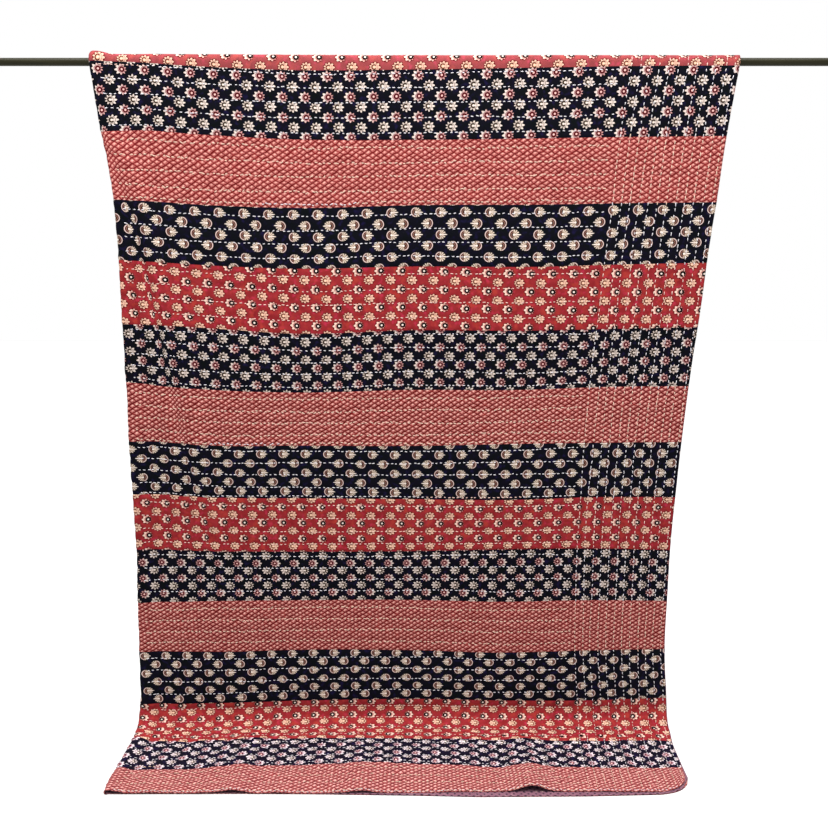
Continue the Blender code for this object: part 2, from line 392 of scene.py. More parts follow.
def cloth(side, a, s, off, detail=True, strip=None):
    """A point of the cloth and its place across. side 0 is the front half (a is u), 1 the fold (a is the angle), 2 the back half."""
    left, right, short = edges(s)
    inner = left + FOLD_NOSE
    edge = right - short if side == 0 else right
    if side == 0:
        x = inner + (edge - inner) * a
        n = BASE + relief(x, s, left)
        step = 0.0005
        slope = (relief(x + step, s, left) - relief(x - step, s, left)) / (2 * step)
        nx, nn = -slope, np.ones_like(x)
        u, tau = a, x - left
    elif side == 2:
        x = inner + (edge - inner) * a
        n = np.full_like(x, -BASE)
        nx, nn = np.zeros_like(x), -np.ones_like(x)
        u, tau = a, left - x
    else:
        top = BASE + relief(inner, s, left)
        middle, half = (top - BASE) / 2, (top + BASE) / 2
        x = inner - FOLD_NOSE * np.sin(a)
        n = middle + half * np.cos(a)
        nx, nn = -np.sin(a) * half, np.cos(a) * FOLD_NOSE
        u, tau = np.zeros_like(x), FOLD_NOSE * np.cos(a)
    size = np.hypot(nx, nn)
    nx, nn = nx / size, nn / size
    tight = pressed(x, s)
    n = n - 0.0017 * tight
    gap = np.where(side == 1, 1.0, edge - x)
    bump = fine(tau, s, u, gap, side == 2, strip) if detail else np.zeros_like(x)
    d = off + bump - (0.0006 * tight if detail else 0)
    y, z, ny, nz = path(s)
    across, up = x + nx * d, n + nn * d
    # the inner half stays on the ground and off the rod
    p = np.stack([across, y + ny * up, z + nz * up], axis=-1)
    p[..., 2] = np.maximum(p[..., 2], GROUND + 0.0003)
    return p, x, edge, tau, bump


# columns across: front from the open edge to the fold, the fold, the back half
fold_width = 1.38
near_fold = np.arange(0, 0.20, 0.0032) / fold_width
beyond = np.linspace(0.20, fold_width, 196) / fold_width
FRONT = np.concatenate([near_fold, beyond])[::-1]
NOSE = np.linspace(0, math.pi, 9)[1:-1]
BACK = np.concatenate([[0], np.linspace(0.008, fold_width, 172) / fold_width])
COLUMNS = [(0, u) for u in FRONT] + [(1, a) for a in NOSE] + [(2, u) for u in BACK]
ROWS = 30


SIDE = np.array([c[0] for c in COLUMNS])
PARAM = np.array([c[1] for c in COLUMNS])
FOLD_ARC = 0.018


def print_across(side, a, s, x, left):
    """Where a point lies across the opened cloth, growing to the right on the front half."""
    inner = left + FOLD_NOSE
    hidden = taken_in(s)
    if side == 0:
        q = x - left - crease_at(s)
        return x - hidden * (1 - smooth(q, -0.016, 0.016))
    if side == 1:
        return inner - hidden - FOLD_ARC * a / math.pi
    return 2 * inner - hidden - FOLD_ARC - x


def grid_points(k, v, off, side_list=None, params=None):
    """The points of strip k at shares v down it and all columns, their place across the print, and their bump."""
    sides = SIDE if side_list is None else side_list
    params = PARAM if params is None else params
    out = np.zeros((len(v), len(sides), 3))
    across = np.zeros((len(v), len(sides)))
    bumps = np.zeros((len(v), len(sides)))
    for side in (0, 1, 2):
        cols = np.flatnonzero(sides == side)
        a = np.broadcast_to(params[cols], (len(v), len(cols)))
        vv = np.broadcast_to(v[:, None], a.shape)
        u = a if side != 1 else np.zeros_like(a)
        # two rounds, because the hem's path length depends on x and x on the path length
        s = strip_path(k, vv, u, np.zeros_like(a), np.full_like(a, 9.0), side == 2)
        for _ in range(2):
            left, right, short = edges(s)
            edge = right - short if side == 0 else right
            x = left + FOLD_NOSE + (edge - left - FOLD_NOSE) * u
            s = strip_path(k, vv, u, x, edge, side == 2)
        given = off if np.isscalar(off) else off[:, cols]
        p, x, edge, tau, bump = cloth(side, a, s, given, np.isscalar(off), k)
        out[:, cols], bumps[:, cols] = p, bump
        across[:, cols] = print_across(side, a, s, x, edges(s)[0])
    return out, across, bumps


# ------------------------------------------------------------------ mesh making
def mesh_object(name, points, faces, uvs=None, smooth_shading=True):
    mesh = bpy.data.meshes.new(name)
    faces = np.asarray(faces, np.int32)
    mesh.vertices.add(len(points))
    mesh.vertices.foreach_set("co", np.asarray(points, np.float32).ravel())
    n = faces.shape[1]
    mesh.loops.add(faces.size)
    mesh.loops.foreach_set("vertex_index", faces.ravel())
    mesh.polygons.add(len(faces))
    mesh.polygons.foreach_set("loop_start", np.arange(0, faces.size, n, dtype=np.int32))
    mesh.polygons.foreach_set("loop_total", np.full(len(faces), n, np.int32))
    mesh.update(calc_edges=True)
    if uvs is not None:
        layer = mesh.uv_layers.new(name="cloth")
        layer.data.foreach_set("uv", np.asarray(uvs, np.float32)[faces.ravel()].ravel())
    if smooth_shading:
        mesh.shade_smooth()
    mesh.validate()
    obj = bpy.data.objects.new(name, mesh)
    bpy.context.scene.collection.objects.link(obj)
    return obj


def grid_faces(rows, cols):
    i, j = np.meshgrid(np.arange(rows - 1), np.arange(cols - 1), indexing="ij")
    a = (i * cols + j).ravel()
    # columns run right to left on the front, rows run down: this order faces outward
    return np.stack([a, a + 1, a + cols + 1, a + cols], axis=1)


# ------------------------------------------------------------------ node helpers
class Value:
    """One number in a node tree. Arithmetic on it adds Math nodes."""

    def __init__(self, tree, socket):
        self.tree, self.socket = tree, socket

    def __add__(self, other):
        return math_node("ADD", self, other)

    __radd__ = __add__

    def __sub__(self, other):
        return math_node("SUBTRACT", self, other)

    def __rsub__(self, other):
        return math_node("SUBTRACT", other, self)

    def __mul__(self, other):
        return math_node("MULTIPLY", self, other)

    __rmul__ = __mul__

    def __truediv__(self, other):
        return math_node("DIVIDE", self, other)

    def __neg__(self):
        return math_node("MULTIPLY", self, -1.0)


def feed(tree, socket, value):
    if isinstance(value, Value):
        tree.links.new(value.socket, socket)
    else:
        socket.default_value = value


def math_node(kind, a, b=None, c=None, clamp=False):
    tree = next(x.tree for x in (a, b, c) if isinstance(x, Value))
    node = tree.nodes.new("ShaderNodeMath")
    node.operation = kind
    node.use_clamp = clamp
    for socket, value in zip(node.inputs, (a, b, c)):
        if value is not None:
            feed(tree, socket, value)
    return Value(tree, node.outputs[0])


def inside(distance, blur=0.9):
    """1 where the distance is negative, with a soft edge."""
    return math_node("MULTIPLY_ADD", distance, -1.0 / blur, 0.5, clamp=True)


def wrap(value, pitch):
    return math_node("WRAP", value, pitch / 2, -pitch / 2)


def polar(x, y):
    tree = x.tree
    join = tree.nodes.new("ShaderNodeCombineXYZ")
    feed(tree, join.inputs[0], x)
    feed(tree, join.inputs[1], y)
    length = tree.nodes.new("ShaderNodeVectorMath")
    length.operation = "LENGTH"
    tree.links.new(join.outputs[0], length.inputs[0])
    return Value(tree, length.outputs["Value"]), math_node("ARCTAN2", y, x)


def colour_mix(tree, factor, a, b):
    node = tree.nodes.new("ShaderNodeMix")
    node.data_type = "RGBA"
    feed(tree, node.inputs[0], factor)
    for socket, value in ((node.inputs[6], a), (node.inputs[7], b)):
        if isinstance(value, tuple):
            socket.default_value = (*value, 1.0)
        else:
            tree.links.new(value, socket)
    return node.outputs[2]


def linear(r, g, b):
    """Scene colour of an sRGB colour given as 0 to 255."""
    return tuple(
        c / 255 / 12.92 if c / 255 <= 0.04045 else ((c / 255 + 0.055) / 1.055) ** 2.4 for c in (r, g, b)
    )


def noise(tree, vector, scale, detail=2.0, rough=0.5):
    node = tree.nodes.new("ShaderNodeTexNoise")
    node.inputs["Scale"].default_value = scale
    node.inputs["Detail"].default_value = detail
    node.inputs["Roughness"].default_value = rough
    if vector is not None:
        tree.links.new(vector, node.inputs["Vector"])
    return node


def new_material(name):
    mat = bpy.data.materials.new(name)
    mat.use_nodes = True
    tree = mat.node_tree
    shader = tree.nodes["Principled BSDF"]
    return mat, tree, shader


class Print:
    """A cotton print: coordinates in millimetres of cloth, and a colour that motifs are laid over."""

    def __init__(self, name, ground, ground_dark, blotch, rough_print=0.0, second=None, depth=1.0, painted_veil=None):
        self.depth, self.painted_veil = depth, painted_veil
        self.mat, self.tree, self.shader = new_material(name)
        tree = self.tree
        uv = tree.nodes.new("ShaderNodeUVMap")
        uv.uv_map = "cloth"
        big = tree.nodes.new("ShaderNodeVectorMath")
        big.operation = "SCALE"
        big.inputs["Scale"].default_value = 1000.0
        tree.links.new(uv.outputs[0], big.inputs[0])
        self.raw = big.outputs[0]
        # block printing is never quite regular
        stray = noise(tree, self.raw, 0.030, 1.0)
        shift = tree.nodes.new("ShaderNodeVectorMath")
        shift.operation = "MULTIPLY_ADD"
        tree.links.new(stray.outputs["Color"], shift.inputs[0])
        shift.inputs[1].default_value = (3.2, 3.2, 0)
        if rough_print:
            jitter = noise(tree, self.raw, 0.11, 0.0)
            more = tree.nodes.new("ShaderNodeVectorMath")
            more.operation = "MULTIPLY_ADD"
            tree.links.new(jitter.outputs["Color"], more.inputs[0])
            more.inputs[1].default_value = (rough_print, rough_print, 0)
            tree.links.new(self.raw, more.inputs[2])
            tree.links.new(more.outputs[0], shift.inputs[2])
        if not rough_print:
            tree.links.new(self.raw, shift.inputs[2])
        split = tree.nodes.new("ShaderNodeSeparateXYZ")
        tree.links.new(shift.outputs[0], split.inputs[0])
        self.x = Value(tree, split.outputs[0])
        self.y = Value(tree, split.outputs[1])
        self.ink = Value(tree, noise(tree, self.raw, 0.55, 3.0, 0.65).outputs["Fac"])
        patch = Value(tree, noise(tree, self.raw, 0.045, 2.0, 0.6).outputs["Fac"])
        tone = math_node("MULTIPLY_ADD", patch, 2.2, -0.6, clamp=True)
        self.colour = colour_mix(tree, tone, ground, ground_dark)
        tint = Value(tree, noise(tree, self.raw, 0.085, 1.0).outputs["Fac"])
        self.colour = colour_mix(tree, math_node("MULTIPLY_ADD", tint, 5.0, -2.75, clamp=True), self.colour, blotch)
        if second:
            warm = Value(tree, noise(tree, self.raw, 0.07, 1.0).outputs["Color"])
            split_warm = tree.nodes.new("ShaderNodeSeparateColor")
            tree.links.new(warm.socket, split_warm.inputs[0])
            fac = math_node("MULTIPLY_ADD", Value(tree, split_warm.outputs[1]), 5.0, -2.6, clamp=True)
            self.colour = colour_mix(tree, fac * 0.8, self.colour, second)

    def lay(self, mask, colour):
        self.colour = colour_mix(self.tree, mask, self.colour, colour)

    def cell(self, pitch_x, pitch_y, at_x, at_y, face=1.0):
        """Local coordinates of the motif nearest to a point, its mirror image if face is -1."""
        x = wrap(self.x - at_x, pitch_x)
        y = wrap(self.y - at_y, pitch_y)
        return (x * face if face != 1.0 else x), y

    def finish(self, rough=0.86):
        tree, shader = self.tree, self.shader
        # yarn: fine darker and lighter threads, and lint
        weave_a = tree.nodes.new("ShaderNodeTexWave")
        weave_a.bands_direction = "X"
        weave_b = tree.nodes.new("ShaderNodeTexWave")
        weave_b.bands_direction = "Y"
        for node in (weave_a, weave_b):
            node.inputs["Scale"].default_value = 0.45
            node.inputs["Distortion"].default_value = 1.2
            node.inputs["Detail"].default_value = 1.0
            tree.links.new(self.raw, node.inputs["Vector"])
        yarn = Value(tree, weave_a.outputs["Fac"]) * 0.5 + Value(tree, weave_b.outputs["Fac"]) * 0.5
        grain = Value(tree, noise(tree, self.raw, 0.9, 2.0, 0.7).outputs["Fac"])
        # the scale darkens or brightens the whole print: painted shade and painted light on some strips
        value = math_node("MULTIPLY_ADD", grain, 0.34 * self.depth, 0.83 * self.depth)
        tone = tree.nodes.new("ShaderNodeVectorMath")
        tone.operation = "SCALE"
        tree.links.new(self.colour, tone.inputs[0])
        tree.links.new(value.socket, tone.inputs["Scale"])
        colour = tone.outputs[0]
        if self.painted_veil:
            # painted light: paler, for the strips that lie face up to the light on the ground
            pale = tree.nodes.new("ShaderNodeVectorMath")
            pale.operation = "ADD"
            pale.inputs[1].default_value = self.painted_veil
            tree.links.new(colour, pale.inputs[0])
            colour = pale.outputs[0]
        tree.links.new(colour, shader.inputs["Base Color"])
        bump = tree.nodes.new("ShaderNodeBump")
        bump.inputs["Strength"].default_value = 0.35
        bump.inputs["Distance"].default_value = 0.0006
        tree.links.new((yarn * 0.5 + grain * 0.9).socket, bump.inputs["Height"])
        tree.links.new(bump.outputs[0], shader.inputs["Normal"])
        shader.inputs["Roughness"].default_value = rough
        shader.inputs["Specular IOR Level"].default_value = 0.02
        shader.inputs["Sheen Weight"].default_value = 0.03
        shader.inputs["Sheen Roughness"].default_value = 0.25
        return self.mat


LIT = 1.60  # how brightly the studio lights the hanging cloth


def dyed(r, g, b):
    """Reflectance of a dye that shows as this sRGB colour under the studio's light."""
    return tuple(min(c / LIT, 0.9) for c in linear(r, g, b))


NAVY = dyed(17, 14, 28)
NAVY_DARK = dyed(12, 16, 16)
NAVY_BLUE = dyed(26, 22, 54)
NAVY_EDGE = dyed(3, 2, 3)
CREAM = dyed(234, 216, 206)
KHAKI = dyed(132, 106, 82)
DARK_KHAKI = dyed(50, 38, 26)
FAN = dyed(222, 202, 184)
RING = dyed(230, 200, 192)
PINK_CREAM = dyed(208, 154, 152)
WHITE_DOT = dyed(252, 234, 222)
DARK_RED = dyed(78, 6, 16)
BROWN = dyed(74, 42, 38)
RED = dyed(158, 48, 52)
RED_DARK = dyed(134, 34, 38)
RED_LIGHT = dyed(182, 48, 72)
RED_ORANGE = dyed(172, 58, 50)
RED_EDGE = dyed(84, 6, 12)
PEACH = dyed(244, 194, 168)
BLACK = dyed(8, 2, 3)
CORAL = dyed(196, 108, 102)
CORAL_LIGHT = dyed(244, 184, 170)
GRAIN_RED = dyed(118, 28, 30)


def blossom(p, x, y, shape, petal, leaf, edge_colour):
    """A flower seen half from the side: short petals round the eye at -x, long leaves at +x."""
    longer, deep, base, tall = shape
    x = x + 2.6
    r, a = polar(x, y / tall)
    near = math_node("COSINE", a)
    lobes = math_node("COSINE", a * 9.0)
    middle = near * longer + base
    reach = middle + lobes * deep
    p.lay(inside(r - reach - 1.9, 1.2) * 0.95, edge_colour)
    # dark specks where two petals meet
    speck = inside(math_node("ABSOLUTE", r - middle - 0.4) - 1.9, 0.8) * inside(lobes + 0.5, 0.5)
    p.lay(speck * 0.9, edge_colour)
    body = inside(r - reach, 0.8)
    faint = math_node("MULTIPLY_ADD", p.ink, -0.9, 1.36, clamp=True)
    p.lay(body * faint, petal)
    p.lay(body * inside(8.8 - r, 1.2) * inside(0.25 - near, 0.5) * 0.9, leaf)
    # thin gaps between the petals, and the line at the foot of the leaves
    gap = inside(math_node("ABSOLUTE", math_node("COSINE", a * 4.5)) * r - 1.15, 0.8) * inside(8.6 - r, 0.8)
    p.lay(gap * body * 0.8, edge_colour)
    foot = inside(math_node("ABSOLUTE", r - 8.4) - 0.5, 0.7) * inside(0.1 - near, 0.6)
    p.lay(foot * 0.75, edge_colour)
    # the eye is rounder than the flower
    r, a = polar(x, y / 0.92)
    return r, math_node("COSINE", a)


def eye(p, r, disc, radius, dot, size):
    p.lay(inside(r - radius, 0.8), disc)
    p.lay(inside(r - size, 0.9) * 0.95, dot)


def open_eye(p, r, near, radius, ring, thick, pupil, dot):
    """A light eye in a dark ring that is open towards the leaves."""
    p.lay(inside(r - radius, 0.8) * inside(near - 0.8, 0.4), pupil)
    mask = inside(math_node("ABSOLUTE", r - radius) - thick, 0.8) * inside(near - 0.84, 0.3)
    p.lay(mask, ring)
    p.lay(inside(r - 2.3, 1.0) * 0.95, dot)


def daisy_print(name="print_daisy", depth=1.0, painted_veil=None, pink=PINK_CREAM, cream=CREAM, heart=DARK_RED):
    """Navy: pink blossoms with a dark red eye turned one way, cream ones with an open eye the other way."""
    p = Print(name, NAVY, NAVY_DARK, NAVY_BLUE, depth=depth, painted_veil=painted_veil)
    px, py = 50.2, 40.6
    x, y = p.cell(px, py, 0, 0, -1.0)
    r, near = blossom(p, x, y, (2.5, 2.3, 10.9, 0.82), pink, cream, NAVY_EDGE)
    eye(p, r, heart, 6.3, dyed(250, 196, 188), 2.3)
    x, y = p.cell(px, py, px / 2, py / 2)
    r, near = blossom(p, x, y, (1.9, 2.5, 10.4, 0.84), cream, cream, NAVY_EDGE)
    p.lay(inside(math_node("ABSOLUTE", r - 7.6) - 0.9, 1.0) * 0.4, KHAKI)
    open_eye(p, r, near, 5.0, dyed(34, 24, 16), 1.2, dyed(92, 72, 54), WHITE_DOT)
    return p.finish()


def red_print(name="print_red", paler=0.0, depth=1.0):
    """Red: the same blossoms, cream with a black eye and peach with an open eye."""
    # paler mixes the reds towards white: a painted highlight where it is set above nought
    red = [tuple(c + paler * (1 - c) for c in dye) for dye in (RED, RED_DARK, RED_LIGHT, RED_ORANGE)]
    p = Print(name, *red[:3], second=red[3], depth=depth)
    px, py = 50.0, 40.2
    x, y = p.cell(px, py, 0, 0, -1.0)
    r, near = blossom(p, x, y, (3.8, 1.7, 9.9, 0.84), dyed(232, 160, 150), dyed(250, 214, 194), RED_EDGE)
    eye(p, r, BLACK, 6.7, WHITE_DOT, 2.3)
    x, y = p.cell(px, py, px / 2, py / 2)
    r, near = blossom(p, x, y, (2.0, 2.0, 10.4, 0.80), PEACH, PEACH, RED_EDGE)
    open_eye(p, r, near, 4.8, dyed(70, 26, 16), 1.15, dyed(206, 140, 112), dyed(252, 214, 184))
    return p.finish()


def spray_print(name="print_spray", depth=1.0):
    """Navy: round sprays, a ring open on one side with a fan of petals, facing left and right by rows."""
    p = Print(name, NAVY, NAVY_DARK, NAVY_BLUE, depth=depth)
    px, py = 55.6, 47.4
    for face, ax, ay in ((1.0, 0, 0), (-1.0, px / 2, py / 2)):
        x, y = p.cell(px, py, ax, ay, face)
        r, a = polar(x, y / 0.93)
        near = math_node("COSINE", a)
        behind = inside(near + 0.10, 0.3)
        front = inside(-0.20 - near, 0.3)
        p.lay(inside(r - 13.0, 1.4) * 0.9, NAVY_EDGE)
        # the ring and the dark heart in it
        p.lay(inside(r - 9.0, 0.8), BROWN)
        p.lay(inside(math_node("ABSOLUTE", r - 10.0) - 0.95, 0.8) * behind, RING)
        p.lay(inside(math_node("ABSOLUTE", r - 5.9) - 0.6, 0.7) * behind * 0.8, dyed(166, 118, 100))
        # the fan, on the open side of the ring
        p.lay(inside(r - 8.6, 1.4) * front * 0.95, KHAKI)
        lobes = math_node("COSINE", a * 13.0)
        reach = near * 1.8 + 10.6
        petals = inside(-0.30 - lobes, 0.6) * inside(r - reach, 0.8) * inside(4.2 - r, 2.4)
        p.lay(petals * front, FAN)
        # the eye and its pointed stem
        d, b = polar(x + 2.6, y)
        p.lay(inside(d - 2.0, 0.9), NAVY_EDGE)
        d, b = polar(x - 0.4, y)
        p.lay(inside(d - 2.4, 1.0), WHITE_DOT)
        stem = inside(math_node("ABSOLUTE", y) + x * 0.03 - 1.15, 0.7) * inside(math_node("ABSOLUTE", x - 7.8) - 7.8, 0.8)
        p.lay(stem, WHITE_DOT)
    return p.finish()


def grain_print(name="print_grain", depth=1.0, painted_veil=None, line=GRAIN_RED, lit_end=CORAL_LIGHT):
    """A small lattice of coral grains on dark red, each paler at its upper end."""
    p = Print(name, line, dyed(98, 16, 20), dyed(138, 38, 38), 3.8, depth=depth, painted_veil=painted_veil)
    px, py = 18.2, 11.3
    for ax, ay in ((0, 0), (px / 2, py / 2)):
        x, y = p.cell(px, py, ax, ay)
        # a lozenge with thin dark lines round it, the rising ones the wider
        rising = x * (2 / px) + y * (2 / py)
        falling = x * (2 / px) - y * (2 / py)
        r, f = math_node("ABSOLUTE", rising), math_node("ABSOLUTE", falling)
        worn = math_node("MULTIPLY_ADD", Value(p.tree, noise(p.tree, p.raw, 0.09, 2.0, 0.6).outputs["Fac"]), 1.6, 0.1, clamp=True)
        p.lay(inside(r - 0.71, 0.2) * inside(f - 0.79, 0.2) * (worn * 0.5 + 0.5), CORAL)
        lit = inside(math_node("ABSOLUTE", rising + 0.16) - 0.27, 0.3) * inside(math_node("ABSOLUTE", falling - 0.12) - 0.42, 0.4)
        p.lay(lit * worn, lit_end)
        fleck = inside(math_node("ABSOLUTE", rising - 0.42) - 0.09, 0.15) * inside(f - 0.34, 0.3)
        p.lay(fleck * 0.6, line)
    return p.finish(0.88)


def backing_material():
    """Mauve cotton with small navy spots."""
    p = Print("mauve_reverse", dyed(142, 101, 115), dyed(126, 85, 101), dyed(154, 115, 125))
    px, py = 17.0, 15.0
    for ax, ay, size in ((0, 0, 3.1), (px / 2, py / 2, 2.3)):
        x, y = p.cell(px, py, ax, ay)
        r, a = polar(x, y)
        p.lay(inside(r - (math_node("COSINE", a * 5.0) * 0.7 + size)) * 0.9, dyed(34, 28, 44))
    return p.finish(0.9)


def thread_material(name, colour, dark):
    mat, tree, shader = new_material(name)
    place = tree.nodes.new("ShaderNodeTexCoord")
    twist = tree.nodes.new("ShaderNodeTexNoise")
    twist.inputs["Scale"].default_value = 900.0
    tree.links.new(place.outputs["Object"], twist.inputs["Vector"])
    tree.links.new(colour_mix(tree, Value(tree, twist.outputs["Fac"]), dark, colour), shader.inputs["Base Color"])
    bump = tree.nodes.new("ShaderNodeBump")
    bump.inputs["Strength"].default_value = 0.3
    bump.inputs["Distance"].default_value = 0.0003
    tree.links.new(twist.outputs["Fac"], bump.inputs["Height"])
    tree.links.new(bump.outputs[0], shader.inputs["Normal"])
    shader.inputs["Roughness"].default_value = 0.75
    shader.inputs["Specular IOR Level"].default_value = 0.3
    shader.inputs["Sheen Weight"].default_value = 0.15
    return mat


def rod_material():
    mat, tree, shader = new_material("rod_olive_bronze")
    place = tree.nodes.new("ShaderNodeTexCoord")
    stretch = tree.nodes.new("ShaderNodeMapping")
    stretch.inputs["Scale"].default_value = (2.0, 60.0, 60.0)
    tree.links.new(place.outputs["Object"], stretch.inputs["Vector"])
    streak = noise(tree, stretch.outputs[0], 6.0, 4.0, 0.6)
    fac = math_node("MULTIPLY_ADD", Value(tree, streak.outputs["Fac"]), 1.6, -0.3, clamp=True)
    tree.links.new(
        colour_mix(tree, fac, linear(22, 21, 9), linear(38, 36, 18)), shader.inputs["Base Color"]
    )
    rough = math_node("MULTIPLY_ADD", Value(tree, streak.outputs["Fac"]), 0.25, 0.30)
    tree.links.new(rough.socket, shader.inputs["Roughness"])
    bump = tree.nodes.new("ShaderNodeBump")
    bump.inputs["Strength"].default_value = 0.08
    bump.inputs["Distance"].default_value = 0.0004
    tree.links.new(streak.outputs["Fac"], bump.inputs["Height"])
    tree.links.new(bump.outputs[0], shader.inputs["Normal"])
    shader.inputs["Metallic"].default_value = 0.20
    shader.inputs["Specular IOR Level"].default_value = 0.15
    return mat


PRINTS = {"daisy": daisy_print(), "spray": spray_print(), "red": red_print(), "grain": grain_print()}
# painted highlight: the strip over the rod is drawn paler, where the light from above falls on it
RED_PAINTED_HIGHLIGHT = red_print("print_red_painted_highlight", 0.022, 0.94)  # paler where it lies over the rod
# painted shade: the strips in the middle are drawn darker, where the light falls off towards the middle of the hang
MIDDLE = range(6, 12)
PAINTED_SHADE_PRINTS = {
    "daisy": daisy_print("print_daisy_painted_shade", 0.86),
    "spray": spray_print("print_spray_painted_shade", 0.87),
    "red": red_print("print_red_painted_shade", 0.0, 0.90),
    "grain": grain_print("print_grain_painted_shade", 0.92, None, dyed(92, 8, 10), dyed(255, 200, 186)),
}
# painted light: the two strips on the ground are drawn paler, where they face up to the light
GROUND_PAINTED_LIGHT = {
    14: daisy_print(
        "print_daisy_painted_light", 1.07, (0.0018, 0.0004, 0.0028), dyed(208, 172, 180), dyed(234, 216, 220), dyed(92, 34, 46)
    ),
    15: grain_print("print_grain_painted_light", 0.97, (0.0, 0.008, 0.010), dyed(112, 22, 24), dyed(248, 198, 188)),
}
MAUVE = backing_material()

# ------------------------------------------------------------------ the strips
TURN = 0.0012  # how far the print runs round a cut edge
print_at = [0.0]
for k in range(len(STRIPS)):
    print_at.append(print_at[-1] + SEAMS[k + 1][0] - SEAMS[k][0])

reverse_cols = np.unique(np.concatenate([np.arange(0, len(SIDE), 3), [0, len(FRONT), len(SIDE) - 1]]))
reverse_points, reverse_uv = [], []
GRIDS = []
shares = np.linspace(0, 1, ROWS + 1)
for k, (print_name, turned, along, down, gather, off_grain, rows) in enumerate(STRIPS):
    pts, across, bumps = grid_points(k, shares, OUTER)
    GRIDS.append(pts)
    height = SEAMS[k + 1][0] - SEAMS[k][0]
    down_at = shares * height
    back_face = grid_points(k, shares, np.clip(INNER + 0.0001 + bumps, -BASE + 0.0003, 1.0))[0]
    # the open edges are turned in: one more column at the reverse face
    pts = np.concatenate([back_face[:, :1], pts, back_face[:, -1:]], axis=1)
    uu = np.concatenate([across[:, :1] + TURN, across, across[:, -1:] - TURN], axis=1)
    vv = np.broadcast_to(down_at[:, None], uu.shape)
    if k in (0, len(STRIPS) - 1):
        # and so are the two ends
        end = back_face[0] if k == 0 else back_face[-1]
        end = np.concatenate([end[:1], end, end[-1:]], axis=0)[None]
        if k == 0:
            pts = np.concatenate([end, pts], axis=0)
            uu = np.concatenate([uu[:1], uu], axis=0)
            vv = np.concatenate([vv[:1] - TURN, vv], axis=0)
        else:
            pts = np.concatenate([pts, end], axis=0)
            uu = np.concatenate([uu, uu[-1:]], axis=0)
            vv = np.concatenate([vv, vv[-1:] + TURN], axis=0)
    vv = vv - off_grain * (uu + 0.033)
    uu = uu * gather
    if turned:
        uu, vv = -uu, -vv
    uv = np.stack([uu.ravel() - along / 1000.0, vv.ravel() - down / 1000.0], axis=1)
    obj = mesh_object(f"strip_{k + 1:02d}_{print_name}", pts.reshape(-1, 3), grid_faces(*pts.shape[:2]), uv)
    if k in GROUND_PAINTED_LIGHT:
        obj.data.materials.append(GROUND_PAINTED_LIGHT[k])
    else:
        obj.data.materials.append(RED_PAINTED_HIGHLIGHT if k == 1 else (PAINTED_SHADE_PRINTS if k in MIDDLE else PRINTS)[print_name])
    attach(obj, "root")
    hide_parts("quilt_top")

    # the reverse follows at a coarser pitch, always below the printed face
    lowest = bumps.copy()
    for shift in (1, 2, 3):
        for axis in (0, 1):
            for way in (shift, -shift):
                moved = np.roll(bumps, way, axis=axis)
                if axis == 0:
                    moved[:way] = bumps[:way] if way > 0 else moved[:way]
                    if way < 0:
                        moved[way:] = bumps[way:]
                lowest = np.minimum(lowest, moved)
    keep = np.arange(0, ROWS + 1, 3) if k == len(STRIPS) - 1 else np.arange(0, ROWS, 3)
    inner_off = np.clip(OUTER - 0.0023 + lowest, -BASE + 0.00015, OUTER + lowest - 0.0003)
    inner_points = grid_points(k, shares, inner_off)[0]
    reverse_points.append(inner_points[np.ix_(keep, reverse_cols)])
    reverse_uv.append(
        np.stack([across[np.ix_(keep, reverse_cols)], np.repeat((print_at[k] + down_at[keep])[:, None], len(reverse_cols), 1)], -1)
    )

reverse_points = np.concatenate(reverse_points)
reverse_uv = np.concatenate(reverse_uv)
reverse = mesh_object(
    "reverse_mauve",
    reverse_points.reshape(-1, 3),
    grid_faces(*reverse_points.shape[:2])[:, ::-1],
    reverse_uv.reshape(-1, 2),
)
reverse.data.materials.append(MAUVE)
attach(reverse, "root")
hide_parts("quilt_backing")

# ------------------------------------------------------------------ the stitches


def thread_mesh(name, ends_a, ends_b, normals, width, height, mat):
    """Each stitch is a bead of thread that comes up out of the cloth and goes back in."""
    along = ends_b - ends_a
    length = np.linalg.norm(along, axis=1, keepdims=True)
    along = along / length
    sideways = np.cross(normals, along)
    sideways /= np.linalg.norm(sideways, axis=1, keepdims=True)
    rings = []
    for share, wide, rise in ((0.12, 0.90, 0.62), (0.5, 1.05, 0.92), (0.88, 0.90, 0.62)):
        centre = ends_a + along * length * share + normals * height * (rise - 0.22)
        for sx, sn in ((1, -0.45), (0, 1), (-1, -0.45)):
            rings.append(centre + sideways * sx * width / 2 * wide + normals * sn * height / 2 * wide)
    tips = [ends_a - normals * height * 0.4, ends_b - normals * height * 0.4]
    verts = np.stack(rings + tips, axis=1)  # n, 11, 3
    verts[..., 2] = np.maximum(verts[..., 2], GROUND + 0.0001)
    faces = []
    for ring in (0, 1):
        for j in range(3):
            a, b = ring * 3 + j, ring * 3 + (j + 1) % 3
            c, d = a + 3, b + 3
            faces += [(a, c, d), (a, d, b)]
    for j in range(3):
        faces.append((9, j, (j + 1) % 3))
        faces.append((10, 6 + (j + 1) % 3, 6 + j))
    faces = np.array(faces)
    count = len(verts)
    allf = (faces[None] + 11 * np.arange(count)[:, None, None]).reshape(-1, 3)
    obj = mesh_object(name, verts.reshape(-1, 3), allf)
    obj.data.materials.append(mat)
    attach(obj, "root")
    return obj


FRONT_PLACE = np.arange(len(FRONT))[::-1]  # np.interp wants u to grow


